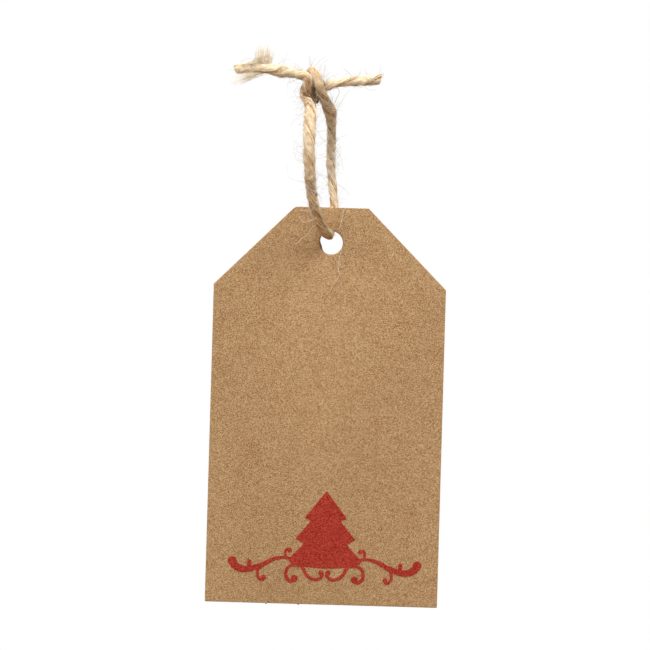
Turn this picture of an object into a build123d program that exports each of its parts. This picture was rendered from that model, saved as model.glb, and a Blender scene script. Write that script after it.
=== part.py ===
from build123d import *
from math import pi, radians, tan
import os

# A kraft gift tag hanging from a tied loop of jute twine. Millimetres, +Z up, front face towards -Y.
# The origin is the inside top of the loop, just under the knot, where a hook bears.

# Card
card_width = 50.0
card_height = 85.5
card_thickness = 0.5
top_edge_width = 15.8
shoulder_drop = 17.1  # from the top edge down to the shoulders
corner_radius = 0.25
hole_diameter = 5.0
hole_drop = 7.6  # from the top edge down to the hole's centre

# Twine
twine_diameter = 2.4
rim_clearance = 0.25  # between the twine and the top of the hole
bight_length = 2.4  # the straight bit of twine inside the hole
loop_length = 28.55  # from the hanging point down to the twine in the hole
card_offset = 3.75  # the card's centre line lies this far right of the hanging point

# Twine routes, chosen by hand from the hole up to the knot, and from the knot to each loose end
front_leg_bend = (card_offset, -3.3, -loop_length)
front_leg_route = [
    (2.55, -6.00, -27.55),
    (0.85, -8.10, -24.90),
    (-0.45, -9.40, -20.60),
    (-1.10, -9.60, -14.60),
    (-1.70, -8.50, -8.20),
    (-1.75, -5.60, -2.70),
    (-1.50, -2.90, 0.50),
    (-1.20, -0.90, 2.60),
]
back_leg_bend = (card_offset, 3.4, -loop_length)
back_leg_route = [
    (3.85, 6.20, -27.40),
    (3.95, 8.20, -24.60),
    (3.90, 9.40, -20.30),
    (3.40, 9.60, -14.40),
    (3.10, 8.60, -8.00),
    (2.95, 5.90, -2.80),
    (1.90, 3.00, 0.40),
    (0.60, 1.00, 2.40),
]
left_tail_route = [
    (-2.60, 0.60, 5.60),
    (-6.20, -0.20, 6.60),
    (-10.20, -0.60, 7.60),
    (-14.20, -0.40, 7.45),
    (-18.05, 0.20, 7.20),
]
right_tail_route = [
    (0.80, -0.40, 4.30),
    (3.96, -0.90, 5.15),
    (7.00, -0.80, 5.20),
    (10.00, -0.30, 5.55),
    (13.40, 0.30, 5.94),
]
bend_share = 0.45  # share of the shorter run that each bend takes up

# Knot: two tilted turns of twine round a packed middle
knot_centre = (-1.0, 0.0, 3.9)
knot_turn_radius = 1.9  # at the middle of the twine
knot_turn_rise = 1.3  # of each turn above or below the knot's centre
knot_turn_tilt = 25.0  # degrees

# Print: a fir tree with three tiers, measured up from the card's bottom edge
ink_thickness = 0.05
print_offset = 0.58  # right of the card's centre line
fir_base = 7.82
fir_base_rise = 0.58  # of the curved base, from its middle to its ends
fir_base_half_width = 6.9
fir_height = 16.68
fir_tip_radius = 0.25
tier_tips = [(4.60, 10.73), (6.52, 6.20), (7.98, 1.68)]  # half width, height above the base
tier_notches = [(3.19, 10.18), (4.62, 5.25)]

# Print: pen strokes of the scrolls, outwards and upwards from the tip of the lowest tier
stem_route = [(-0.58, 0.30), (1.67, 0.39), (3.55, -0.15), (5.42, -1.22), (7.29, -1.91), (9.32, -2.29),
              (10.94, -1.80), (11.92, -0.58)]
stem_widths = (0.50, 1.75)
stem_ball = 0.98
bud_route = [(8.27, -2.10), (8.27, -1.35), (8.27, -0.58)]
bud_width = 0.90
drop_curl_route = [(5.87, -1.70), (6.44, -3.15), (6.17, -4.10), (5.44, -4.50), (5.07, -3.95)]
drop_curl_ball = 0.54
rise_curl_route = [(0.17, 0.25), (0.57, 1.35), (0.27, 2.20), (-0.38, 2.02)]
rise_curl_ball = 0.52
side_curl_widths = (0.56, 0.70)
outer_curl_route = [(-3.28, -1.25), (-2.16, -1.20), (-1.06, -1.17), (-0.04, -1.75), (0.35, -2.85), (0.02, -4.08),
                    (-0.83, -4.58), (-1.51, -3.98)]
outer_curl_widths = (0.56, 0.86)
outer_curl_ball = 0.76
inner_curl_route = [(-3.03, -1.20), (-3.68, -2.45), (-4.46, -3.50), (-5.64, -4.10), (-6.82, -3.92),
                    (-7.56, -3.20), (-7.21, -2.70)]
inner_curl_widths = (0.80, 0.62)
inner_curl_ball = 0.58
stroke_steps = 24

# Places that follow from the sizes above: the card hangs from the twine by the top of its hole
twine_radius = twine_diameter / 2
hole_rim = -loop_length + twine_radius + rim_clearance
card_top = hole_rim - hole_diameter / 2 + hole_drop
card_bottom = card_top - card_height
card_plane = Plane(origin=(card_offset, card_thickness / 2, card_bottom), x_dir=(1, 0, 0), z_dir=(0, -1, 0))
ink_plane = Plane(
    origin=(card_offset + print_offset, -card_thickness / 2, card_bottom), x_dir=(1, 0, 0), z_dir=(0, -1, 0)
)

os.makedirs("parts", exist_ok=True)


def save(piece, name):
    """Label a finished piece and write its file."""
    piece.part.label = name
    export_step(piece.part, f"parts/{name}.step")


# Card: a die-cut blank with its top corners cut off and a punched hole
with BuildPart() as tag_card:
    with BuildSketch(card_plane) as blank:
        half_width = card_width / 2
        half_top = top_edge_width / 2
        shoulder = card_height - shoulder_drop
        with BuildLine():
            Polyline(
                (-half_width, 0),
                (half_width, 0),
                (half_width, shoulder),
                (half_top, card_height),
                (-half_top, card_height),
                (-half_width, shoulder),
                close=True,
            )
        make_face()
        fillet(blank.vertices(), corner_radius)
        with Locations((0, card_height - hole_drop)):
            Circle(hole_diameter / 2, mode=Mode.SUBTRACT)
    extrude(amount=card_thickness)
save(tag_card, "tag_card")


# Print: the fir tree
with BuildPart() as fir_print:
    with BuildSketch(ink_plane) as fir_outline:
        tree_side = [(0, fir_base + fir_height)]
        for tip, notch in zip(tier_tips, tier_notches + [None]):
            tree_side.append((tip[0], fir_base + tip[1]))
            if notch:
                tree_side.append((notch[0], fir_base + notch[1]))
        base_end = (fir_base_half_width, fir_base + fir_base_rise)
        with BuildLine():
            Polyline(*tree_side, base_end)
            ThreePointArc(base_end, (0, fir_base), (-base_end[0], base_end[1]))
            Polyline((-base_end[0], base_end[1]), *[(-x, z) for x, z in reversed(tree_side)])
        make_face()
        tips = [
            corner
            for corner in fir_outline.vertices()
            for x, z in tree_side
            if abs(abs(corner.X) - x) < fir_tip_radius and abs(corner.Y - z) < fir_tip_radius
        ]
        fillet(tips, fir_tip_radius)
    extrude(amount=ink_thickness)
save(fir_print, "fir_print")


def pen_stroke(route, side, widths, ball_radius=None):
    """Draw one swelling pen stroke along a smooth line through the route, with a ball on its end."""
    tip_x, tip_z = tier_tips[-1]
    points = [(side * (tip_x + x), fir_base + tip_z + z) for x, z in route]
    with BuildLine(mode=Mode.PRIVATE) as middle:
        Spline(*points)
    left = []
    right = []
    for step in range(stroke_steps + 1):
        share = step / stroke_steps
        half = (widths[0] + (widths[1] - widths[0]) * share) / 2
        across = (middle.line % share).rotate(Axis.Z, 90) * half
        left.append(middle.line @ share + across)
        right.append(middle.line @ share - across)
    with BuildLine(mode=Mode.PRIVATE) as outline:
        Spline(*left)
        Line(left[-1], right[-1])
        Spline(*reversed(right))
        Line(right[0], left[0])
    make_face(outline.edges())
    with Locations(points[-1]):
        Circle(ball_radius or widths[1] / 2)


# Print: the scrolls beside the tree and the curls below it, each cut back to the tree's outline
for side, word in ((-1, "left"), (1, "right")):
    with BuildPart() as scroll_print:
        with BuildSketch(ink_plane):
            pen_stroke(stem_route, side, stem_widths, stem_ball)
            pen_stroke(bud_route, side, (bud_width, bud_width))
            pen_stroke(drop_curl_route, side, side_curl_widths, drop_curl_ball)
            pen_stroke(rise_curl_route, side, side_curl_widths, rise_curl_ball)
            add(fir_outline.sketch_local, mode=Mode.SUBTRACT)
        extrude(amount=ink_thickness)
    save(scroll_print, f"{word}_scroll_print")

    with BuildPart() as curl_print:
        with BuildSketch(ink_plane):
            pen_stroke(outer_curl_route, side, outer_curl_widths, outer_curl_ball)
            pen_stroke(inner_curl_route, side, inner_curl_widths, inner_curl_ball)
            add(fir_outline.sketch_local, mode=Mode.SUBTRACT)
        extrude(amount=ink_thickness)
    save(curl_print, f"{word}_curl_print")


# Twine: the bight inside the hole, on which the card turns
with BuildPart() as twine_bight:
    with BuildSketch(Plane(origin=(card_offset, bight_length / 2, -loop_length), z_dir=(0, -1, 0))):
        Circle(twine_radius)
    extrude(amount=bight_length)
save(twine_bight, "twine_bight")


def bend_radii(route):
    """Give each corner of a route the largest arc that its two runs allow."""
    radii = []
    for before, corner, after in zip(route, route[1:], route[2:]):
        arriving = Vector(corner) - Vector(before)
        leaving = Vector(after) - Vector(corner)
        half_turn = radians(arriving.get_angle(leaving)) / 2
        radii.append(bend_share * min(arriving.length, leaving.length) / tan(half_turn))
    return radii


def twine_stretch(route, name):
    """Sweep one free stretch of twine along its route, in straight runs and arcs."""
    radii = bend_radii(route)
    with BuildPart() as stretch:
        with BuildLine() as path:
            FilletPolyline(*route, radius=radii)
        with BuildSketch(Plane(origin=path.line @ 0, z_dir=path.line % 0)):
            Circle(twine_radius)
        sweep()
    length = path.wire().length
    expected = pi * twine_radius**2 * length
    print(f"{name}: length {length:.2f}, volume {stretch.part.volume:.2f} of {expected:.2f},",
          "radii", [round(radius, 1) for radius in radii])
    save(stretch, name)


front_start = (card_offset, -bight_length / 2, -loop_length)
back_start = (card_offset, bight_length / 2, -loop_length)
twine_stretch([front_start, front_leg_bend] + front_leg_route, "twine_front_leg")
twine_stretch([back_start, back_leg_bend] + back_leg_route, "twine_back_leg")
twine_stretch(left_tail_route, "twine_left_tail")
twine_stretch(right_tail_route, "twine_right_tail")


# Twine: the knot
with BuildPart() as twine_knot:
    with Locations(knot_centre):
        Sphere(knot_turn_radius + twine_radius / 2)
        with Locations((0, 0, -knot_turn_rise)):
            Torus(knot_turn_radius, twine_radius, rotation=(0, knot_turn_tilt, 0))
        with Locations((0, 0, knot_turn_rise)):
            Torus(knot_turn_radius, twine_radius, rotation=(0, -knot_turn_tilt, 0))
save(twine_knot, "twine_knot")
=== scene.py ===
import math

import bmesh
import bpy
import numpy as np
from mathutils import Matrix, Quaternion, Vector


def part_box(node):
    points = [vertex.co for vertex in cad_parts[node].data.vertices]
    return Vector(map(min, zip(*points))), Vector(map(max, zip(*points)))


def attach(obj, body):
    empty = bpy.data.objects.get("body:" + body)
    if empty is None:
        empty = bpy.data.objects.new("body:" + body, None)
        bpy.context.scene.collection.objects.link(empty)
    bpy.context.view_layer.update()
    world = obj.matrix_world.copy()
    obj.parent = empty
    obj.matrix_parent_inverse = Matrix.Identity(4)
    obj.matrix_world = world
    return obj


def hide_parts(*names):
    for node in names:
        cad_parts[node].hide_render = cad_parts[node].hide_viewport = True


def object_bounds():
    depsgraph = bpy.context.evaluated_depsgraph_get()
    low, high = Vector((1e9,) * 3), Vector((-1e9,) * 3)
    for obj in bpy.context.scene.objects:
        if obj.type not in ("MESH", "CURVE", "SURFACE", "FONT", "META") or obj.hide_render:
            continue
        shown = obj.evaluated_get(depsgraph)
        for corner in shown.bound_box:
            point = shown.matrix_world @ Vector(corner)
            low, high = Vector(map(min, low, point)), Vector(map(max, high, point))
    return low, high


# A kraft gift tag on a tied loop of jute twine. Lengths are written in millimetres, and MM turns them into
# metres. In the lists of points and the pairs of limits it does so where they are used.

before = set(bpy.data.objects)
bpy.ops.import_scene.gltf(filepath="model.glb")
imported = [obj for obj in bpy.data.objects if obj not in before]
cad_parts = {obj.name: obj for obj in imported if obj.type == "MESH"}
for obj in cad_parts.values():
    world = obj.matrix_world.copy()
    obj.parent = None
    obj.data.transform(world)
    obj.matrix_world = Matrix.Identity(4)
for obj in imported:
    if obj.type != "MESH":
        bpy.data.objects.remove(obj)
cad_low, cad_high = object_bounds()
card_low, card_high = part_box("tag_card")
scene = bpy.context.scene
MM = 0.001

# Camera: straight on and far off, rolled so that the tag leans as it does in the photograph
view_width = 139.9 * MM
view_middle = Vector((2.93, 0.0, -47.32)) * MM
camera_distance = 1.4
camera_roll = math.radians(1.64)

# Card
card_thickness = 0.5 * MM
top_edge_width = 15.8 * MM
shoulder_drop = 17.1 * MM  # from the top edge down to the shoulders
corner_radius = 0.25 * MM
worn_corner_radius = 1.7 * MM  # at the left end of the top edge
hole_diameter = 5.0 * MM
hole_drop = 7.6 * MM  # from the top edge down to the hole's centre
card_middle = (card_low.x + card_high.x) / 2
hole_height = card_high.z - hole_drop
edge_roll = 0.12 * MM  # the cutting die rounds the front edges by this much
hole_roll = 0.33 * MM  # and the punch rounds the hole's front rim
roll_steps = 4
corner_points = 6
hole_points = 96
sharp_angle = math.radians(35.0)  # edges that turn by more are drawn sharp
nibs = [-8.03, -1.13]  # places where the cutting die left a nib on the bottom edge
nib_width = 0.5
nib_height = 0.22
nib_profile = [(-0.5, 0.0), (-0.15, 1.0), (0.15, 1.0), (0.5, 0.0)]  # as shares of its width and height
burr_turn = math.radians(198.0)  # a lip left inside the hole by the punch
burr_spread = math.radians(26.0)
burr_height = 0.38 * MM

# Kraft board and ink
speck_length = 0.19 * MM  # across the card, along the board's grain
speck_height = 0.07 * MM
cloud_size = 5.0 * MM
cloud_share = 0.08  # how much the clouds count beside the specks
pulp_width = 0.2 * MM
pulp_length = 0.9 * MM
pulp_angles = (8.0, 52.0, 97.0, 141.0)
pulp_share = 0.06  # how much the pulp fibres of each angle count
grain_reach = 0.084  # the grain at which the board is darkest or palest
grain_depth = 0.06 * MM
board_bump = 0.35
ink_bump = 0.2
kraft_dark = (0.26, 0.115, 0.035)
kraft_colour = (0.449, 0.276, 0.130)
kraft_pale = (0.68, 0.495, 0.285)
# The cut edges and the faces inside the hole are darker: partly the board's own cut edge, partly painted
# shade on the punch's burr.
cut_edge_tone_and_shade = 0.45
ink_dark = (0.22, 0.008, 0.004)
ink_colour = (0.364, 0.0165, 0.0065)
ink_pale = (0.55, 0.085, 0.057)

# Twine: two plies, laid left-handed
ply_turn = 12.0 * MM  # length of twine in which a ply goes round once
ply_offset = 0.36  # from the twine's middle to a ply's middle, as a share of the twine's radius
ply_thickness = 0.64  # half of a ply's size across, as a share of the twine's radius
ply_width = 0.86  # half of a ply's size around the twine, as a share of its radius
ply_sides = 18
ply_step = 0.3 * MM
lumps = [(0.04, 0.74 * MM, 0.0), (0.035, 0.31 * MM, 1.7)]  # share of the radius, length per radian, phase
cut_end_length = 1.0 * MM  # over which a cut end narrows
cut_end_loss = 0.38  # of the radius
lean_length = 2.0 * MM  # over which a cut end comes to its slant
lone_lead = 1.5 * MM  # a ply starts to fill out this far before the other one stops
lone_length = 3.0 * MM
lone_swelling = 0.16  # of the thickness
# The crease beside the other ply is darkened, on the ply and on its fibres: painted shade.
crease_from = 1.0  # angle on a ply, from its outside, where the crease beside the other ply starts
crease_full = 1.9
core_tone_and_shade_share = 0.66  # the ply under the fibres has this share of their level, partly the yarn's browner core and partly painted shade between the fibres, and less in the crease
crease_shade_share = 0.5
crease_shade_dimming = 0.42  # of the fibres' own level in the crease, taken off there as painted shade
any_angle = 6.3  # a whole turn, from 0
any_side = 3.1  # nearly half a turn, to both sides of 0

# Twine: the fibres on each ply
fibre_step = 0.45 * MM
fibres_per_mm = 5.0  # on each ply, counted by where they start
fibre_lengths = (4.0, 14.0)
fibre_radii = (0.032, 0.075)
fibre_overrun = 0.6  # past a cut end
least_fibre_points = 5
fibre_reach = 2.0  # to both sides of a ply's outside
fibre_drift = 0.6  # of the angle, along a fibre
fibre_sway = 0.15
sway_rates = (4.0, 14.0)
sway_phases = (0.0, 6.0)
fibre_lifts = (-0.05, 0.03)
loose_end_lift = 0.25
loose_end_power = 6
flare_length = 1.2 * MM  # the fibres spread at a cut end
flare = 0.07
fibre_tip = 0.3  # share of the radius at a fibre's ends
fibre_swelling = 4.0
bundles_round = 12  # fibres that lie together make bundles of one tint and height
bundle_length = 2.4 * MM
bundle_lift = 0.035
bundle_tint = 0.36

# Twine: stray fibres, which lie askew over both plies
strays_per_mm = 4.0
stray_margin = 2.0 * MM  # none starts nearer to the end
stray_lengths = (2.0, 8.0)
stray_radii = (0.018, 0.032)
stray_levels = (0.9, 1.4)
stray_twist = -0.25  # angle per millimetre, and its spread
stray_twist_spread = 0.4
stray_wave = 0.04
stray_wave_length = 0.6 * MM
stray_lift = 0.1

# Straw, at levels where 1 is plain straw
dark_level = 0.2
paling = 0.45  # straw is palest this far above 1
level_spread = 0.34  # from fibre to fibre
warmth_middle = 0.05
warmth_spread = 0.1
colour_limits = (0.03, 0.97)
straw_colour = np.array((0.93, 0.815, 0.615))
pale_straw_colour = np.array((0.97, 0.885, 0.715))
warm_shift = np.array((0.5, -0.4, -1.6))  # how warmth and darkness change the straw's red, green and blue
# Below 1 the straw browns: partly its own darker tone, partly the warm hue of painted shade.
brown_shift = np.array((0.3, -0.15, -0.8))
deep_brown_shift = np.array((0.0, -0.45, -0.25))

# Fuzz: short hairs all round the twine
hair_step = 0.25 * MM
least_hair_steps = 8
curl_memory = 0.85  # share of a hair's bend that goes on into its next step
curl_change = 0.5
fuzz_per_mm = 7.5
fuzz_on_tails = 0.55  # share of the fuzz that is kept on the tails
tails_from = 0.8  # share of a twine's length
fuzz_from = 5.0 * MM  # the twine in the hole has none
fuzz_outwards = (0.3, 1.0)  # how strongly the fuzz heads outwards, along the twine, anywhere and up
fuzz_along = 0.9
fuzz_anywhere = 0.25
fuzz_rise = 0.35
fuzz_lengths = (0.6, 8.0)
fuzz_length_shape = 1.8
fuzz_root = 0.1 * MM  # inside the twine
fuzz_curl = 0.1
fuzz_radii = (0.018, 0.04)
fuzz_tip = 0.5  # share of the radius
fuzz_colour = np.array((0.60, 0.55, 0.47))
fuzz_tint = 0.12
card_room = 0.9 * MM  # kept clear of hairs on both sides of the card's middle, and more where the card tips
card_tip = math.radians(30.0)

# Twine routes, from the middle of the hole through the knot to each loose end
hole_middle = (3.42, 0.0, -28.17)
front_route = [
    hole_middle,
    (3.02, -0.92, -28.10),
    (2.05, -1.95, -27.20),
    (1.30, -2.80, -25.90),
    (0.50, -3.85, -23.90),
    (-0.32, -5.10, -21.20),
    (-0.90, -6.70, -18.20),
    (-1.22, -8.10, -14.60),
    (-1.55, -8.80, -10.40),
    (-1.64, -8.20, -6.20),
    (-1.57, -6.20, -2.60),
    (-1.38, -3.60, -0.60),
    (-2.20, -1.60, 0.55),
    (-2.90, -0.40, 1.60),
    (-2.98, 0.60, 3.10),
    (-2.30, 1.00, 4.30),
    (-0.80, 0.80, 4.60),
    (0.70, 0.30, 4.15),
    (1.90, -0.30, 4.00),
    (3.96, -0.90, 4.85),
    (7.00, -0.80, 5.20),
    (10.00, -0.30, 5.55),
    (13.40, 0.30, 5.94),
]
back_route = [
    hole_middle,
    (3.45, 0.95, -28.12),
    (3.50, 2.10, -27.10),
    (3.90, 3.60, -25.40),
    (4.20, 6.00, -23.20),
    (4.15, 8.10, -20.40),
    (3.60, 9.30, -16.40),
    (3.13, 9.20, -11.60),
    (3.25, 8.00, -7.20),
    (3.08, 6.20, -3.60),
    (2.95, 4.20, -1.60),
    (2.10, 2.20, 0.10),
    (1.40, 0.20, 1.30),
    (0.70, -1.40, 2.70),
    (0.05, -2.10, 4.30),
    (-0.45, -1.90, 5.90),
    (-1.00, -0.50, 7.25),
    (-1.80, 1.30, 7.15),
    (-1.60, 2.70, 5.20),
    (-0.80, 2.90, 3.00),
    (-0.45, 2.50, 1.70),
    (-0.80, 1.75, 1.00),
    (-1.50, 0.70, 1.15),
    (-2.30, -0.70, 2.00),
    (-2.50, -1.90, 3.20),
    (-2.20, -2.10, 4.30),
    (-2.05, -2.15, 5.25),
    (-2.70, -1.95, 6.05),
    (-4.10, -1.30, 6.28),
    (-6.20, -0.60, 6.75),
    (-8.60, -0.60, 7.00),
    (-11.20, -0.60, 7.60),
    (-14.20, -0.40, 7.45),
    (-18.05, 0.20, 7.20),
]
# Half the twine's thickness along each route, as (share of the length, millimetres)
front_stations = [
    (0.0, 0.76), (0.02, 0.82), (0.05, 0.9), (0.1, 0.95), (0.2, 1.02), (0.3, 1.14), (0.45, 1.24),
    (0.54, 1.22), (0.6, 0.94), (0.7, 0.9), (0.79, 0.95), (0.83, 0.78), (0.88, 0.88), (0.94, 1.02),
    (1.0, 1.1),
]
back_stations = [
    (0.0, 0.76), (0.05, 0.82), (0.1, 0.84), (0.3, 0.82), (0.37, 0.86), (0.395, 1.08), (0.42, 1.24),
    (0.45, 1.08), (0.5, 0.9), (0.55, 0.96), (0.76, 0.95), (0.82, 0.92), (0.85, 1.02), (0.868, 1.26),
    (0.885, 1.18), (0.91, 0.96), (0.93, 0.95), (1.0, 1.1),
]
# How pale the straw is along each route, as (share of the length, level). The low levels near the hole on
# the front route, and the dip on the back leg and in the knot's hollow on the back route, are painted
# shade; the tails are paler.
front_levels_with_painted_shade = [
    (0.0, 0.6), (0.06, 0.72), (0.12, 0.86), (0.27, 1.02), (0.34, 1.22), (0.48, 1.28), (0.54, 0.95),
    (0.76, 1.0), (0.8, 1.5), (1.0, 1.6),
]
back_levels_with_painted_shade = [
    (0.0, 1.15), (0.2, 1.2), (0.27, 1.2), (0.4, 1.15), (0.44, 1.05), (0.48, 0.95), (0.53, 1.15),
    (0.62, 1.15), (0.66, 0.3), (0.74, 0.35), (0.76, 0.75), (0.785, 1.1), (0.83, 1.4), (0.9, 1.55),
    (1.0, 1.65),
]
front_end_lean = 0.32  # the right tail's end is cut off at a slant
back_end_lean = 0.15

# The left tail's second ply stops short and is frayed out into a tuft and some whiskers
fray_from_end = 4.8 * MM
tuft_clumps = 24
tuft_fibres = 9  # in each clump
tuft_reach = 3.1 * MM  # along the tail
tuft_rises = (0.55, 1.0)  # of the clumps, as shares of the tuft's height
tuft_shoulder = [(0.0, 0.15), (0.7, 1.0)]  # shares of its reach, and of its height there
tuft_lean = 0.35
tuft_heights = (9.2, 13.3)  # of its lowest and highest tips
tuft_tips = (2.0, 1.2)  # most fibres of a clump end near its top
tuft_straggle = 0.06  # spread of a clump's roots along the tail, and of its tips sideways and in depth
tuft_tip_spread = 0.16
tuft_tip_depth = 0.4
tuft_bows = (-0.6, 0.1)  # how far a fibre bows to the side
tuft_bow_height = 0.9
tuft_points = 14
tuft_ruffle = 0.02
tuft_radii = (0.024, 0.045)
tuft_thinning = 0.5
tuft_level = 1.5
tuft_root = [(-16.6, -0.7, 8.0), (-15.0, -0.8, 8.4), (-13.5, -0.7, 8.9), (-12.9, -0.6, 10.4)]
whiskers = [
    (-10.7, -0.9, 6.90),
    (-12.8, -1.0, 6.40),
    (-14.6, -1.0, 5.80),
    (-16.6, -1.1, 5.15),
    (-18.7, -1.2, 4.45),
]
# Loose fibres on the right of the front leg, down to the hole, made very pale: partly painted highlight for
# the light on that side of the leg
hole_fringe = [
    (1.0, -6.0, -22.2),
    (1.75, -4.4, -24.6),
    (2.6, -2.8, -26.4),
    (3.5, -1.6, -27.5),
    (4.3, -1.1, -27.95),
]
# Bundles of loose fibres, as (route, count, spread at each end, level)
tuft_bundles = [(tuft_root, 80, (0.25, 0.3), 1.35), (whiskers, 110, (0.2, 0.6), 1.2)]
# The fringe's high levels, 1.3 and 1.8, make it a painted highlight as well as loose fibres.
front_bundles = [(hole_fringe, 60, (0.18, 0.28), 1.3), (hole_fringe[-3:], 200, (0.15, 0.24), 1.8)]
loose_starts = (0.0, 0.4)  # shares of the route between which a loose fibre starts and ends
loose_ends = (0.6, 1.0)
loose_points = 24
loose_ruffle = 0.025
loose_radii = (0.016, 0.034)
loose_thinning = 0.6

# Single hairs: those that wind round a leg, at these heights, and those that stand off along a line
front_windings = [-16.6, -17.6, -18.9, -22.2]
back_windings = [1.2, -0.3, -2.6, -4.4, -5.4, -6.9, -10.4, -11.2, -13.5]
windings_each = 8  # at each height
winding_points = 40
winding_reaches = (0.6, 2.4)
winding_spread = 0.5
winding_turns = (0.25, 0.8)
winding_sway = 0.25
winding_sway_ends = (3.0, 9.0)
winding_swelling = 1.04  # they lie this much further out than the twine's radius
winding_lift = 0.1 * MM
winding_radii = (0.026, 0.056)
dull_hair_radius = 0.042 * MM
faint_hair_radius = 0.026 * MM
pale_hair_radius = 0.032 * MM
card_hair_radius = 0.05 * MM
dull_hair_colour = np.array((0.52, 0.47, 0.40))
faint_hair_colour = np.array((0.70, 0.65, 0.56))
pale_hair_colour = np.array((0.94, 0.90, 0.82))
front_dull_hairs = [
    [(3.60, -0.90, 4.60), (4.84, -0.50, 3.10), (4.16, 0.60, 1.94), (3.87, 1.60, 0.90), (3.29, 2.60, -0.15)],
    [(5.34, -1.20, 7.85), (5.97, -1.00, 7.56), (7.34, -0.80, 6.16), (7.90, -0.80, 5.40)],
]
front_faint_hairs = [
    [(-6.38, -7.00, -13.16), (-6.01, -7.40, -15.67), (-4.70, -7.80, -16.58), (-1.20, -8.80, -17.01)],
    [(-4.63, -8.00, -8.01), (-4.88, -8.30, -9.95), (-4.73, -8.60, -11.46), (-1.60, -9.00, -13.34)],
]
front_pale_hairs = [
    [(-3.30, -3.20, -24.00), (-2.96, -4.00, -25.19), (-1.65, -4.60, -25.58), (0.60, -5.00, -24.20)],
    [(-3.10, -3.40, -22.90), (-2.20, -4.00, -22.75), (-1.20, -4.60, -23.05), (0.40, -5.40, -22.90)],
    [(-4.03, -2.60, -30.15), (-3.10, -3.00, -29.70), (-2.58, -3.20, -28.75), (-1.60, -3.60, -28.30),
     (-0.90, -3.90, -27.00), (-0.25, -4.00, -26.47), (1.00, -4.20, -25.20)],
]
back_dull_hairs = [[(1.29, -2.20, 8.56), (1.43, -2.10, 7.53), (1.05, -2.00, 6.40), (-0.20, -1.90, 5.20)]]
# Hairs that have come loose and lie on the card's front
card_hairs = [
    [(6.33, -0.42, -22.29), (5.86, -0.45, -24.95), (5.35, -0.50, -26.73)],
    [(6.08, -0.40, -30.49), (5.54, -0.42, -32.92), (5.28, -0.42, -35.25), (5.97, -0.42, -36.57),
     (3.90, -0.42, -39.85)],
]

# Studio
floor_size = 1.2
floor_drop = 150.0 * MM
floor_colour = (0.8, 0.8, 0.8)
floor_bounce = (0.13, 0.085, 0.05)  # its colour to all rays but those that look at it
dome_below = 0.50
dome_above = 0.53
warm_above = (1.0, 0.94, 0.85)
warm_below = (1.0, 0.84, 0.68)
# Lamps, as (name, azimuth, elevation, distance, size, power), with azimuth 0 in front and 90 on the right
lamps = [
    ("right", 51.0, 59.5, 3.0, 1.0, 52.0),
    ("left", -68.0, 44.0, 3.0, 1.0, 36.0),
    ("top", 10.0, 57.0, 2.5, 3.0, 39.0),
    ("rim", 200.0, 45.0, 2.0, 1.2, 9.0),
]


def unit(vectors):
    """Scale vectors to length one."""
    return vectors / np.linalg.norm(vectors, axis=-1, keepdims=True)


def eased(share):
    """Keep a share between 0 and 1, and let it set off and arrive gently."""
    share = np.clip(share, 0.0, 1.0)
    return share * share * (3 - 2 * share)


def read_along(places, along, values):
    """Read points or directions at places along a line."""
    return np.stack([np.interp(places, along, values[:, axis]) for axis in range(3)], axis=-1)


def spline_points(route):
    """Read the points of a smooth line that has the route as its control points."""
    curve = bpy.data.curves.new("route", "CURVE")
    curve.dimensions = "3D"
    spline = curve.splines.new("NURBS")
    spline.points.add(len(route) - 1)
    for target, point in zip(spline.points, route):
        target.co = (*[value * MM for value in point], 1.0)
    spline.order_u = 3
    spline.use_endpoint_u = True
    spline.resolution_u = 32
    holder = bpy.data.objects.new("route", curve)
    mesh = bpy.data.meshes.new_from_object(holder)
    points = np.array([vertex.co for vertex in mesh.vertices])
    bpy.data.objects.remove(holder)
    bpy.data.curves.remove(curve)
    bpy.data.meshes.remove(mesh)
    return points


def steady_sides(tangents):
    """Carry a sideways direction along a line without twisting it."""
    first = np.array((0.0, 0.0, 1.0))
    if abs(tangents[0] @ first) > 0.9:
        first = np.array((1.0, 0.0, 0.0))
    side = unit(first - (first @ tangents[0]) * tangents[0])
    sides = [side]
    for tangent in tangents[1:]:
        side = unit(side - (side @ tangent) * tangent)
        sides.append(side)
    return np.array(sides)


class Line:
    """A smooth line, its arc length and the directions across it."""

    def __init__(self, route):
        self.points = spline_points(route)
        steps = np.linalg.norm(np.diff(self.points, axis=0), axis=1)
        self.along = np.concatenate([[0.0], np.cumsum(steps)])
        self.length = self.along[-1]
        self.tangents = unit(np.gradient(self.points, self.along, axis=0))
        self.sides = steady_sides(self.tangents)

    def at(self, s):
        """Give the point, the tangent and two directions across, running straight on past the end."""
        tangent = unit(read_along(s, self.along, self.tangents))
        past = np.maximum(s - self.length, 0.0)[..., None]
        point = read_along(s, self.along, self.points) + tangent * past
        side = unit(read_along(s, self.along, self.sides))
        return point, tangent, side, np.cross(tangent, side)


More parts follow.
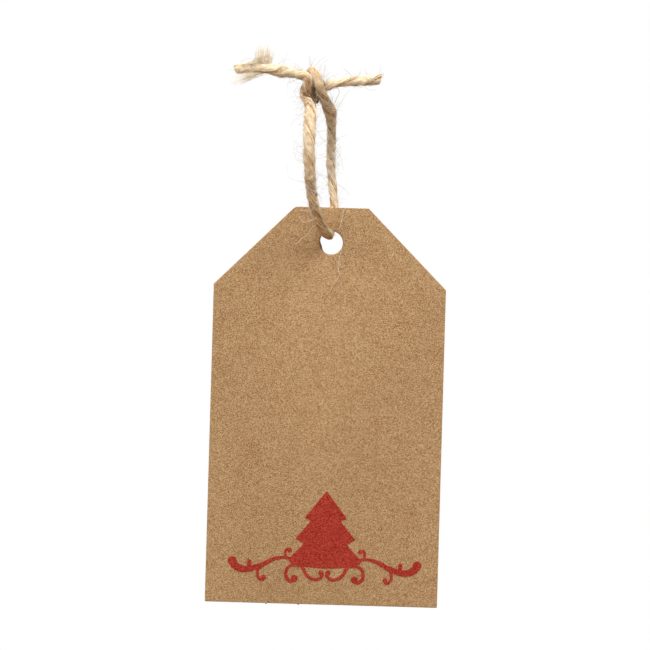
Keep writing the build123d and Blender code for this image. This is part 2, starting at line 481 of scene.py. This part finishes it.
class Twine:
    """Two-ply twine along a line. An angle on a ply starts from the side of it that faces outwards."""

    def __init__(self, route, stations, levels, end_lean, frayed=0.0):
        self.line = Line(route)
        self.length = self.line.length
        self.end_lean = end_lean
        self.stations = np.transpose(stations)
        self.levels = np.transpose(levels)
        self.ends = (self.length, self.length - frayed)
        self.lone_from = self.ends[1] - lone_lead if frayed else None

    def radius(self, s):
        """Half the twine's thickness, with the lumps of hand-made yarn."""
        waves = sum(size * np.sin(s / length + phase) for size, length, phase in lumps)
        narrowed = 1 - cut_end_loss * np.clip(1 + (s - self.length) / cut_end_length, 0.0, 1.0) ** 2
        return np.interp(s / self.length, *self.stations) * MM * (1 + waves) * narrowed

    def level(self, s):
        """How pale the straw is, with painted shade where the route's levels dip."""
        return np.interp(s / self.length, *self.levels)

    def lone(self, s):
        """How far one ply goes on by itself: 0 where there are two, 1 where there is one."""
        if self.lone_from is None:
            return np.zeros_like(s)
        return eased((s - self.lone_from) / lone_length)

    def around(self, s, out, turn):
        """Give points at a distance from the twine's middle line, at an angle round it."""
        point, tangent, side, up = self.line.at(s)
        return point + out[:, None] * (side * np.cos(turn)[:, None] + up * np.sin(turn)[:, None])

    def ply_point(self, ply, s, angle, lift=0.0):
        """Give points on a ply's surface, at s along the twine and at an angle round the ply."""
        point, tangent, side, up = self.line.at(s)
        radius = self.radius(s)
        lone = self.lone(s) if ply == 0 else np.zeros_like(s)
        turn = -2 * math.pi * s / ply_turn + ply * math.pi
        offset = ply_offset * (1 - lone)
        thickness = ply_thickness + lone_swelling * lone
        x = radius * offset + (radius * thickness + lift) * np.cos(angle)
        y = (radius * ply_width + lift) * np.sin(angle)
        across = x * np.cos(turn) - y * np.sin(turn)
        upwards = x * np.sin(turn) + y * np.cos(turn)
        outwards = side * across[..., None] + up * upwards[..., None]
        lean = self.end_lean * np.clip(1 - (self.length - s) / lean_length, 0.0, 1.0)
        return point + outwards + tangent * (lean * outwards[..., 2])[..., None]


class Strands:
    """Gathers closed tubes into one mesh and keeps a colour for each point."""

    def __init__(self):
        self.points = []
        self.faces = []
        self.colours = []
        self.count = 0

    def add_rings(self, rings, colour):
        """Join rings of points into a closed tube."""
        steps, sides, _ = rings.shape
        index = self.count + np.arange(steps * sides).reshape(steps, sides)
        beside = np.roll(index, -1, axis=1)
        quads = np.stack([index[:-1], beside[:-1], beside[1:], index[1:]], axis=-1).reshape(-1, 4)
        self.faces += quads.tolist()
        self.faces += [index[0][::-1].tolist(), index[-1].tolist()]
        self.points.append(rings.reshape(-1, 3))
        tints = np.ones((steps, sides, 4))
        tints[..., :3] = colour
        self.colours.append(tints.reshape(-1, 4))
        self.count += steps * sides

    def add_tube(self, line, radii, colour, sides=4):
        """Lay a thin tube along a line of points."""
        tangents = unit(np.gradient(line, axis=0))
        side = steady_sides(tangents)
        up = np.cross(tangents, side)
        turn = np.linspace(0, 2 * math.pi, sides, endpoint=False)
        ring = np.cos(turn)[None, :, None] * side[:, None] + np.sin(turn)[None, :, None] * up[:, None]
        self.add_rings(line[:, None] + np.asarray(radii)[:, None, None] * ring, colour)

    def build(self, name, body):
        """Make one jute piece of all the tubes, and let it ride a body."""
        mesh = bpy.data.meshes.new(name)
        mesh.from_pydata(np.concatenate(self.points).tolist(), [], self.faces)
        mesh.validate()
        tint = mesh.color_attributes.new("tint", "FLOAT_COLOR", "POINT")
        tint.data.foreach_set("color", np.concatenate(self.colours).astype(np.float32).ravel())
        mesh.shade_smooth()
        mesh.materials.append(jute)
        made = bpy.data.objects.new(name, mesh)
        scene.collection.objects.link(made)
        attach(made, body)
        return made


# Materials
def new_material(name):
    """Make a material with a bare Principled shader, and give its node tree and shader."""
    material = bpy.data.materials.new(name)
    material.use_nodes = True
    tree = material.node_tree
    shader = tree.nodes["Principled BSDF"]
    return material, tree, shader


def add_node(tree, kind, **settings):
    """Add a node. A setting names one of its properties, or else one of its inputs."""
    node = tree.nodes.new(kind)
    for name, value in settings.items():
        if hasattr(node, name):
            setattr(node, name, value)
        else:
            node.inputs[name.replace("_", " ").title()].default_value = value
    return node


def twine_material():
    """Jute: each fibre has its own tint, and is blotched along its length."""
    material, tree, shader = new_material("jute")
    link = tree.links.new
    tint = add_node(tree, "ShaderNodeAttribute", attribute_name="tint")
    place = add_node(tree, "ShaderNodeTexCoord")
    blotch = add_node(tree, "ShaderNodeTexNoise", scale=900.0, detail=4.0, roughness=0.65)
    level = add_node(tree, "ShaderNodeMapRange", from_min=0.3, from_max=0.7, to_min=0.8, to_max=1.2)
    shade = add_node(tree, "ShaderNodeMix", data_type="RGBA", blend_type="MULTIPLY")
    shade.inputs["Factor"].default_value = 1.0
    bump = add_node(tree, "ShaderNodeBump", strength=0.4, distance=0.05 * MM)
    link(place.outputs["Object"], blotch.inputs["Vector"])
    link(blotch.outputs["Fac"], level.inputs["Value"])
    link(tint.outputs["Color"], shade.inputs["A"])
    link(level.outputs["Result"], shade.inputs["B"])
    link(shade.outputs["Result"], shader.inputs["Base Color"])
    link(blotch.outputs["Fac"], bump.inputs["Height"])
    link(bump.outputs["Normal"], shader.inputs["Normal"])
    shader.inputs["Roughness"].default_value = 0.75
    shader.inputs["Specular IOR Level"].default_value = 0.25
    return material


def stretched_noise(tree, place, width, height, detail, angle=0.0):
    """Noise drawn out into specks or fibres that lie at an angle in the card's plane."""
    mapping = add_node(tree, "ShaderNodeMapping", vector_type="TEXTURE")
    mapping.inputs["Rotation"].default_value = (0.0, math.radians(angle), 0.0)
    mapping.inputs["Scale"].default_value = (width, width, height)
    noise = add_node(tree, "ShaderNodeTexNoise", scale=1.0, detail=detail, roughness=0.5)
    tree.links.new(place.outputs["Object"], mapping.inputs["Vector"])
    tree.links.new(mapping.outputs["Vector"], noise.inputs["Vector"])
    return noise


def grain(tree):
    """Paper grain about 0: fine specks, fibres in several directions and faint clouds."""
    link = tree.links.new
    place = add_node(tree, "ShaderNodeTexCoord")
    specks = stretched_noise(tree, place, speck_length, speck_height, detail=1.0)
    clouds = add_node(tree, "ShaderNodeTexNoise", scale=1 / cloud_size, detail=3.0, roughness=0.6)
    link(place.outputs["Object"], clouds.inputs["Vector"])
    layers = [(specks, 1.0), (clouds, cloud_share)]
    for angle in pulp_angles:
        pulp = stretched_noise(tree, place, pulp_width, pulp_length, detail=2.0, angle=angle)
        layers.append((pulp, pulp_share))
    total = None
    for noise, share in layers:
        part = add_node(tree, "ShaderNodeMath", operation="MULTIPLY")
        part.inputs[1].default_value = share
        link(noise.outputs["Fac"], part.inputs[0])
        if total:
            both = add_node(tree, "ShaderNodeMath", operation="ADD")
            link(total.outputs["Value"], both.inputs[0])
            link(part.outputs["Value"], both.inputs[1])
            part = both
        total = part
    about_zero = add_node(tree, "ShaderNodeMath", operation="SUBTRACT")
    about_zero.inputs[1].default_value = 0.5 * sum(share for noise, share in layers)
    link(total.outputs["Value"], about_zero.inputs[0])
    return about_zero


def paper_material(name, dark, middle, pale, bump_strength):
    """Board, or the ink on it, with the board's grain."""
    material, tree, shader = new_material(name)
    link = tree.links.new
    total = grain(tree)
    level = add_node(tree, "ShaderNodeMapRange", from_min=-grain_reach, from_max=grain_reach)
    colours = add_node(tree, "ShaderNodeValToRGB")
    ramp = colours.color_ramp
    ramp.elements[0].color = (*dark, 1.0)
    ramp.elements[1].color = (*pale, 1.0)
    ramp.elements.new(0.5).color = (*middle, 1.0)
    bump = add_node(tree, "ShaderNodeBump", strength=bump_strength, distance=grain_depth)
    link(total.outputs["Value"], level.inputs["Value"])
    link(level.outputs["Result"], colours.inputs["Fac"])
    link(colours.outputs["Color"], shader.inputs["Base Color"])
    link(total.outputs["Value"], bump.inputs["Height"])
    link(bump.outputs["Normal"], shader.inputs["Normal"])
    shader.inputs["Roughness"].default_value = 0.85
    shader.inputs["Specular IOR Level"].default_value = 0.2
    return material


jute = twine_material()
kraft_tones = (kraft_dark, kraft_colour, kraft_pale)
cut_tones = [[cut_edge_tone_and_shade * part for part in tone] for tone in kraft_tones]
kraft = paper_material("kraft", *kraft_tones, board_bump)
cut_edge = paper_material("kraft_cut_edge_and_burr_shade", *cut_tones, board_bump)
red_ink = paper_material("red_ink", ink_dark, ink_colour, ink_pale, ink_bump)


# Twine: the plies and the fibres that lie on them
def straw(level, warmth=warmth_middle):
    """Give straw's colour at one level or many: browner below 1 and paler above it, the browning also
    giving painted shade its warm hue.
    """
    level = np.clip(level, dark_level, 1 + paling)[..., None]
    below = np.maximum(1 - level, 0.0)
    shift = warmth * warm_shift + below * brown_shift + below**2 * deep_brown_shift
    colour = straw_colour * (1 - below) * (1 + shift)
    paleness = np.maximum(level - 1, 0.0) / paling
    return np.clip(colour + (pale_straw_colour - colour) * paleness, *colour_limits)


def straw_tint(rng, level):
    """Give one fibre's colour."""
    return straw(np.array(rng.normal(level, level_spread)), rng.normal(warmth_middle, warmth_spread))


def crease_shade_mask(angle):
    """How deep an angle on a ply lies in the crease beside the other ply, from 0 to 1: the mask of the
    painted shade there.
    """
    return eased((np.abs(angle) - crease_from) / (crease_full - crease_from))


def add_plies(strands, twine):
    """Sweep each ply of the twine as a closed tube."""
    for ply, end in enumerate(twine.ends):
        steps = int(end / ply_step)
        s = np.linspace(0.0, end, steps)
        angle = np.linspace(0, 2 * math.pi, ply_sides, endpoint=False)
        rings = twine.ply_point(ply, np.repeat(s, ply_sides), np.tile(angle, steps))
        facing = (angle + math.pi) % (2 * math.pi) - math.pi
        # Painted shade: the ply under the fibres is darker, and darker still in the crease.
        depth = crease_shade_mask(facing)[None] * (1 - twine.lone(s))[:, None]
        level = twine.level(s)[:, None] * (core_tone_and_shade_share + (crease_shade_share - core_tone_and_shade_share) * depth)
        strands.add_rings(rings.reshape(steps, ply_sides, 3), straw(level))


def add_fibres(strands, twine, rng):
    """Lay fibres along the outside of each ply, with their ends lifting a little."""
    for ply, end in enumerate(twine.ends):
        bundles = rng.normal(0.0, 1.0, (bundles_round, int(end / bundle_length) + 2))
        for _ in range(int(fibres_per_mm * end / MM)):
            length = rng.uniform(*fibre_lengths) * MM
            start = rng.uniform(-length, end)
            stop = min(start + length, end + rng.uniform(0.0, fibre_overrun) * MM)
            s = np.arange(max(start, 0.0), stop, fibre_step)
            if len(s) < least_fibre_points:
                continue
            way = np.linspace(0.0, 1.0, len(s))
            reach = any_side if twine.lone(s[-1:])[0] > 0 else fibre_reach
            angle = rng.uniform(-reach, reach) + rng.normal(0.0, fibre_drift) * way
            angle += fibre_sway * np.sin(way * rng.uniform(*sway_rates) + rng.uniform(*sway_phases))
            middle = len(s) // 2
            row = int(angle[middle] / (2 * math.pi) * bundles_round)
            bundle = bundles[row, int(s[middle] / bundle_length)]
            lift = (rng.uniform(*fibre_lifts) + bundle_lift * bundle) * MM
            lift = lift + abs(rng.normal(0.0, loose_end_lift)) * MM * way**loose_end_power
            lift = lift + np.maximum(s - twine.length + flare_length, 0.0) * rng.uniform(0.0, flare)
            taper = np.minimum(1.0, fibre_tip + fibre_swelling * np.minimum(way, 1 - way))
            radii = rng.uniform(*fibre_radii) * MM * taper
            # Painted shade: fibres that lie in the crease are darkened.
            depth = crease_shade_mask(angle[middle]) * (1 - twine.lone(s[middle]))
            level = twine.level(s[middle]) * (1 - crease_shade_dimming * depth) + bundle_tint * bundle
            strands.add_tube(twine.ply_point(ply, s, angle, lift), radii, straw_tint(rng, level))


def add_strays(strands, twine, rng):
    """Lay pale single fibres loosely over the twine, askew to its plies."""
    for _ in range(int(strays_per_mm * twine.length / MM)):
        start = rng.uniform(0.0, twine.length - stray_margin)
        stop = min(start + rng.uniform(*stray_lengths) * MM, twine.length)
        s = np.arange(start, stop, hair_step)
        turn = rng.uniform(0.0, any_angle) + rng.normal(stray_twist, stray_twist_spread) * (s - start) / MM
        wave = 1.0 + stray_wave * np.sin((s - start) / stray_wave_length)
        out = twine.radius(s) * wave + rng.uniform(0.0, stray_lift) * MM
        radii = np.full(len(s), rng.uniform(*stray_radii) * MM)
        # The strays take the twine's level, painted shade included.
        level = twine.level(s[len(s) // 2]) * rng.uniform(*stray_levels)
        strands.add_tube(twine.around(s, out, turn), radii, straw(np.array(level)), sides=3)


def make_twine(name, twine, nodes, seed):
    """Make one length of twine, which stands for its CAD nodes."""
    strands = Strands()
    rng = np.random.default_rng(seed)
    add_plies(strands, twine)
    add_fibres(strands, twine, rng)
    add_strays(strands, twine, rng)
    made = strands.build(name, "twine")
    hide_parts(*nodes)
    return made


# Twine: loose hairs
def wandering_line(root, heading, length, curl, rng):
    """Grow a hair from its root, with its heading drifting as it goes."""
    steps = max(least_hair_steps, int(length / hair_step))
    points = [root]
    bend = rng.normal(0.0, curl, 3)
    for _ in range(steps):
        bend = curl_memory * bend + rng.normal(0.0, curl_change * curl, 3)
        heading = unit(heading + bend)
        points.append(points[-1] + heading * length / steps)
    return np.array(points)


def near_card(points):
    """Tell whether a line comes into the room that the card takes up as it tips about the hole's rim."""
    rim = hole_height + hole_diameter / 2
    room = card_room + math.tan(card_tip) * np.abs(points[:, 2] - rim)
    return bool(np.any((np.abs(points[:, 1]) < room) & (points[:, 2] < card_high.z + card_room)))


def make_fuzz(name, twine, seed):
    """Short hairs that stand away from the twine all round."""
    rng = np.random.default_rng(seed)
    strands = Strands()
    for _ in range(int(fuzz_per_mm * twine.length / MM)):
        s = np.array([rng.uniform(fuzz_from, twine.length)])
        root = twine.ply_point(0, s, np.array([rng.uniform(-any_side, any_side)]))[0]
        point, tangent, side, up = [value[0] for value in twine.line.at(s)]
        outwards = unit(root - point)
        heading = outwards * rng.uniform(*fuzz_outwards) + tangent * rng.normal(0.0, fuzz_along)
        heading = heading + rng.normal(0.0, fuzz_anywhere, 3)
        heading[2] += fuzz_rise
        length = min(rng.gamma(fuzz_length_shape, 1.0) + fuzz_lengths[0], fuzz_lengths[1]) * MM
        line = wandering_line(root - outwards * fuzz_root, unit(heading), length, fuzz_curl, rng)
        radii = rng.uniform(*fuzz_radii) * MM * np.linspace(1.0, fuzz_tip, len(line))
        tint = fuzz_colour * rng.normal(1.0, fuzz_tint)
        spare = s[0] > tails_from * twine.length and rng.uniform() > fuzz_on_tails
        if not spare and not near_card(line):
            strands.add_tube(line, radii, tint, sides=3)
    return strands.build(name, "twine")


def add_hair(strands, route, radius, colour):
    """Lay one long hair along a route."""
    line = spline_points(route)
    strands.add_tube(line, np.full(len(line), radius), colour, sides=3)


def ruffle(points, size, rng):
    """Let a line of points stray from its course as it goes."""
    points[1:] += np.cumsum(rng.normal(0.0, size, (len(points) - 1, 3)), axis=0) * MM


def add_bundle(strands, route, count, spreads, level, rng):
    """Lay loose fibres side by side along a route, each over its own stretch of it."""
    line = spline_points(route)
    for _ in range(count):
        share = np.linspace(rng.uniform(*loose_starts), rng.uniform(*loose_ends), loose_points)
        points = read_along(share * (len(line) - 1), np.arange(len(line)), line)
        spread = (spreads[0] + (spreads[1] - spreads[0]) * share)[:, None]
        points += rng.normal(0.0, 1.0, 3) * spread * MM
        ruffle(points, loose_ruffle, rng)
        radii = rng.uniform(*loose_radii) * MM * np.linspace(1.0, loose_thinning, loose_points)
        strands.add_tube(points, radii, straw_tint(rng, level), sides=3)


def add_windings(strands, twine, heights, rng):
    """Wind pale hairs steeply round a leg."""
    leg = twine.line.along < 0.5 * twine.length
    for height in heights:
        middle = twine.line.along[leg][np.argmin(np.abs(twine.line.points[leg, 2] - height * MM))]
        for _ in range(windings_each):
            reach = rng.uniform(*winding_reaches) * MM
            s = np.linspace(middle - reach, middle + reach, winding_points)
            s = s + rng.normal(0.0, winding_spread) * MM
            whole_turn = rng.choice((-1, 1)) * rng.uniform(*winding_turns) * 2 * math.pi
            start = rng.uniform(0.0, any_angle)
            sway = np.linspace(0.0, rng.uniform(*winding_sway_ends), winding_points)
            turn = np.linspace(0.0, whole_turn, winding_points) + (start + winding_sway * np.sin(sway))
            line = twine.around(s, twine.radius(s) * winding_swelling + winding_lift, turn)
            radii = np.full(winding_points, rng.uniform(*winding_radii) * MM)
            strands.add_tube(line, radii, pale_hair_colour)


def make_hairs(name, twine, windings, hairs, bundles, seed):
    """Hairs that wind round a leg, longer ones that stand off it, and bundles of loose fibres."""
    rng = np.random.default_rng(seed)
    strands = Strands()
    add_windings(strands, twine, windings, rng)
    for routes, radius, colour in hairs:
        for route in routes:
            add_hair(strands, route, radius, colour)
    for bundle in bundles:
        add_bundle(strands, *bundle, rng)
    return strands.build(name, "twine")


def bent_line(first, control, last, steps):
    """A line that leaves the first point towards the control point and comes to the last one."""
    t = np.linspace(0.0, 1.0, steps)[:, None]
    return (1 - t) ** 2 * first + 2 * t * (1 - t) * control + t**2 * last


def make_tuft(name, twine, seed):
    """The frayed ply: its fibres stand up in a brush, and a few trail below the tail."""
    rng = np.random.default_rng(seed)
    strands = Strands()
    for clump in range(tuft_clumps):
        share = (clump + rng.uniform(0.0, 1.0)) / tuft_clumps
        rise = rng.uniform(*tuft_rises) * np.interp(share, *tuft_shoulder)
        lean = rng.normal(0.0, tuft_lean)
        for _ in range(tuft_fibres):
            s = np.array([twine.ends[1] - (share + rng.normal(0.0, tuft_straggle)) * tuft_reach])
            root = twine.ply_point(1, s, np.array([rng.uniform(-any_side, any_side)]))[0]
            top = tuft_heights[0] + (tuft_heights[1] - tuft_heights[0]) * rise * rng.beta(*tuft_tips)
            tip_x = root[0] + (lean + rng.normal(0.0, tuft_tip_spread)) * MM
            tip_y = root[1] + rng.normal(0.0, tuft_tip_depth) * MM
            control = root + np.array((rng.uniform(*tuft_bows), 0.0, tuft_bow_height)) * MM
            line = bent_line(root, control, np.array((tip_x, tip_y, top * MM)), tuft_points)
            ruffle(line, tuft_ruffle, rng)
            radii = rng.uniform(*tuft_radii) * MM * np.linspace(1.0, tuft_thinning, tuft_points)
            strands.add_tube(line, radii, straw_tint(rng, tuft_level), sides=3)
    for bundle in tuft_bundles:
        add_bundle(strands, *bundle, rng)
    return strands.build(name, "twine")


front_twine = Twine(front_route, front_stations, front_levels_with_painted_shade, front_end_lean)
back_twine = Twine(back_route, back_stations, back_levels_with_painted_shade, back_end_lean, frayed=fray_from_end)
front_nodes = ("twine_front_leg", "twine_right_tail", "twine_bight")
back_nodes = ("twine_back_leg", "twine_left_tail", "twine_knot")
front_cord = make_twine("front_twine", front_twine, front_nodes, seed=1)
back_cord = make_twine("back_twine", back_twine, back_nodes, seed=2)
front_hairs = [
    (front_dull_hairs, dull_hair_radius, dull_hair_colour),
    (front_faint_hairs, faint_hair_radius, faint_hair_colour),
    (front_pale_hairs, pale_hair_radius, pale_hair_colour),
]
back_hairs = [(back_dull_hairs, dull_hair_radius, dull_hair_colour)]
front_loose = [
    make_fuzz("front_twine_fuzz", front_twine, seed=3),
    make_hairs("front_twine_hairs", front_twine, front_windings, front_hairs, front_bundles, seed=5),
]
back_loose = [
    make_fuzz("back_twine_fuzz", back_twine, seed=4),
    make_hairs("back_twine_hairs", back_twine, back_windings, back_hairs, [], seed=6),
    make_tuft("left_tail_tuft", back_twine, seed=7),
]
fallen = Strands()
for route in card_hairs:
    add_hair(fallen, route, card_hair_radius, pale_hair_colour)
fallen.build("hairs_on_card", "card")


# Card
def card_ring(inset, _depth):
    """Give the card's outline, moved inwards, as points in X and Z with rounded corners and nibs."""
    half_top = top_edge_width / 2
    shoulder = card_high.z - shoulder_drop
    corners = [
        Vector((card_low.x, card_low.z)),
        Vector((card_high.x, card_low.z)),
        Vector((card_high.x, shoulder)),
        Vector((card_middle + half_top, card_high.z)),
        Vector((card_middle - half_top, card_high.z)),
        Vector((card_low.x, shoulder)),
    ]
    bottom_left, worn = corners[0], corners[4]
    points = []
    for before, corner, after in zip(corners[-1:] + corners, corners, corners[1:] + corners[:1]):
        radius = worn_corner_radius if corner == worn else corner_radius
        arriving = (corner - before).normalized()
        leaving = (after - corner).normalized()
        inwards = (leaving - arriving).normalized()
        half_angle = arriving.angle(leaving) / 2
        centre = corner + inwards * radius / math.cos(half_angle)
        start = math.atan2(-arriving.x, arriving.y)
        for step in range(corner_points):
            turn = start + 2 * half_angle * step / (corner_points - 1)
            points.append(centre + Vector((math.cos(turn), math.sin(turn))) * (radius - inset))
        if corner == bottom_left:
            for nib in nibs:
                for along, drop in nib_profile:
                    x = (nib + along * nib_width) * MM
                    points.append(Vector((x, card_low.z + inset - drop * nib_height * MM)))
    return points


def hole_ring(inset, depth):
    """Give the punched hole's rim, widened, as points in X and Z with the punch's burr at the back."""
    middle = Vector((card_middle, hole_height))
    points = []
    for step in range(hole_points):
        turn = 2 * math.pi * step / hole_points
        burr = depth * burr_height * math.exp(-(((turn - burr_turn) / burr_spread) ** 2))
        radius = hole_diameter / 2 + inset - burr
        points.append(middle + Vector((math.cos(turn), math.sin(turn))) * radius)
    return points


def make_card():
    """A die-cut card: the die rolls the front edges over, and the back edges stay sharp."""
    front, back = -card_thickness / 2, card_thickness / 2
    hole_centre = Vector((card_middle, 0.0, hole_height))
    shape = bmesh.new()
    ends = {front: [], back: []}
    for ring_of, roll in ((card_ring, edge_roll), (hole_ring, hole_roll)):
        profile = []
        for step in range(roll_steps + 1):
            turn = math.pi / 2 * step / roll_steps
            profile.append((roll * (1 - math.sin(turn)), front + roll * (1 - math.cos(turn))))
        profile.append((0.0, back))
        rings = []
        for inset, y in profile:
            depth = (y - front) / card_thickness
            rings.append([shape.verts.new((point.x, y, point.y)) for point in ring_of(inset, depth)])
        for number, (ring, beyond) in enumerate(zip(rings, rings[1:])):
            for a, b, c, d in zip(ring, ring[1:] + ring[:1], beyond[1:] + beyond[:1], beyond):
                face = shape.faces.new((a, b, c, d))
                # Faces inside the hole take the darker cut-edge material, which paints shade on the punch's
                # burr.
                inside = (face.calc_center_median() - hole_centre).length < hole_diameter / 2
                cut = inside or number == roll_steps
                face.material_index = 1 if cut else 0
        for side, ring in ((front, rings[0]), (back, rings[-1])):
            ends[side] += [shape.edges.get(pair) for pair in zip(ring, ring[1:] + ring[:1])]
    for edges in ends.values():
        bmesh.ops.triangle_fill(shape, use_beauty=True, edges=edges)
    bmesh.ops.recalc_face_normals(shape, faces=shape.faces)
    mesh = bpy.data.meshes.new("kraft_card")
    shape.to_mesh(mesh)
    shape.free()
    mesh.shade_smooth()
    mesh.set_sharp_from_angle(angle=sharp_angle)
    mesh.materials.append(kraft)
    mesh.materials.append(cut_edge)
    made = bpy.data.objects.new("kraft_card", mesh)
    scene.collection.objects.link(made)
    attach(made, "card")
    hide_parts("tag_card")


make_card()
for name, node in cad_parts.items():
    if name.endswith("_print"):
        node.data.materials.clear()
        node.data.materials.append(red_ink)


# Studio
def make_camera():
    """A long lens, which shows the width of the view at the tag."""
    data = bpy.data.cameras.new("camera")
    data.sensor_width = 36.0
    data.lens = data.sensor_width * camera_distance / view_width
    data.clip_start = 0.01
    data.clip_end = 100.0
    camera = bpy.data.objects.new("camera", data)
    camera.location = view_middle + Vector((0.0, -camera_distance, 0.0))
    camera.rotation_mode = "QUATERNION"
    level = Quaternion((1.0, 0.0, 0.0), math.radians(90.0))
    camera.rotation_quaternion = level @ Quaternion((0.0, 0.0, 1.0), camera_roll)
    scene.collection.objects.link(camera)
    scene.camera = camera


def seen_rays(tree):
    """Tell the rays that look at a background, straight or by way of metal or glass."""
    rays = add_node(tree, "ShaderNodeLightPath")
    either = add_node(tree, "ShaderNodeMath", operation="MAXIMUM")
    any_of = add_node(tree, "ShaderNodeMath", operation="MAXIMUM")
    tree.links.new(rays.outputs["Is Camera Ray"], either.inputs[0])
    tree.links.new(rays.outputs["Is Glossy Ray"], either.inputs[1])
    tree.links.new(either.outputs["Value"], any_of.inputs[0])
    tree.links.new(rays.outputs["Is Transmission Ray"], any_of.inputs[1])
    return any_of.outputs["Value"]


def make_world():
    """White to the camera, and a soft dome that is brighter above than below to everything else."""
    world = bpy.data.worlds.new("studio")
    scene.world = world
    world.use_nodes = True
    tree = world.node_tree
    tree.nodes.clear()
    link = tree.links.new
    place = add_node(tree, "ShaderNodeTexCoord")
    split = add_node(tree, "ShaderNodeSeparateXYZ")
    height = add_node(tree, "ShaderNodeMapRange", from_min=-1.0, to_min=dome_below, to_max=dome_above)
    dome = add_node(tree, "ShaderNodeBackground")
    white = add_node(tree, "ShaderNodeBackground", strength=1.0)
    tone = add_node(tree, "ShaderNodeMix", data_type="RGBA")
    tone.inputs["A"].default_value = (*warm_below, 1.0)
    tone.inputs["B"].default_value = (*warm_above, 1.0)
    white.inputs["Color"].default_value = (1.0, 1.0, 1.0, 1.0)
    pick = add_node(tree, "ShaderNodeMixShader")
    out = add_node(tree, "ShaderNodeOutputWorld")
    link(place.outputs["Generated"], split.inputs["Vector"])
    link(split.outputs["Z"], height.inputs["Value"])
    link(height.outputs["Result"], dome.inputs["Strength"])
    link(split.outputs["Z"], tone.inputs["Factor"])
    link(tone.outputs["Result"], dome.inputs["Color"])
    link(seen_rays(tree), pick.inputs["Fac"])
    link(dome.outputs["Background"], pick.inputs[1])
    link(white.outputs["Background"], pick.inputs[2])
    link(pick.outputs["Shader"], out.inputs["Surface"])


def make_light(name, azimuth, elevation, distance, size, power):
    """A soft square lamp that faces the tag."""
    data = bpy.data.lights.new(name, "AREA")
    data.shape = "SQUARE"
    data.size = size
    data.energy = power
    a = math.radians(azimuth)
    e = math.radians(elevation)
    away = Vector((math.sin(a) * math.cos(e), -math.cos(a) * math.cos(e), math.sin(e)))
    lamp = bpy.data.objects.new(name, data)
    lamp.location = view_middle + away * distance
    lamp.rotation_mode = "QUATERNION"
    lamp.rotation_quaternion = (-away).to_track_quat("-Z", "Y")
    scene.collection.objects.link(lamp)


def make_floor():
    """A pale floor below the hanging tag, which throws little light back up."""
    mesh = bpy.data.meshes.new("floor")
    half = floor_size / 2
    height = cad_low.z - floor_drop
    corners = [(-half, -half, height), (half, -half, height), (half, half, height), (-half, half, height)]
    mesh.from_pydata(corners, [], [(0, 1, 2, 3)])
    material, tree, shader = new_material("floor")
    colour = add_node(tree, "ShaderNodeMix", data_type="RGBA")
    colour.inputs["A"].default_value = (*floor_bounce, 1.0)
    colour.inputs["B"].default_value = (*floor_colour, 1.0)
    tree.links.new(seen_rays(tree), colour.inputs["Factor"])
    tree.links.new(colour.outputs["Result"], shader.inputs["Base Color"])
    shader.inputs["Roughness"].default_value = 0.9
    mesh.materials.append(material)
    floor = bpy.data.objects.new("floor", mesh)
    scene.collection.objects.link(floor)


make_camera()
make_world()
make_floor()
for lamp in lamps:
    make_light(*lamp)
scene.view_settings.view_transform = "Standard"
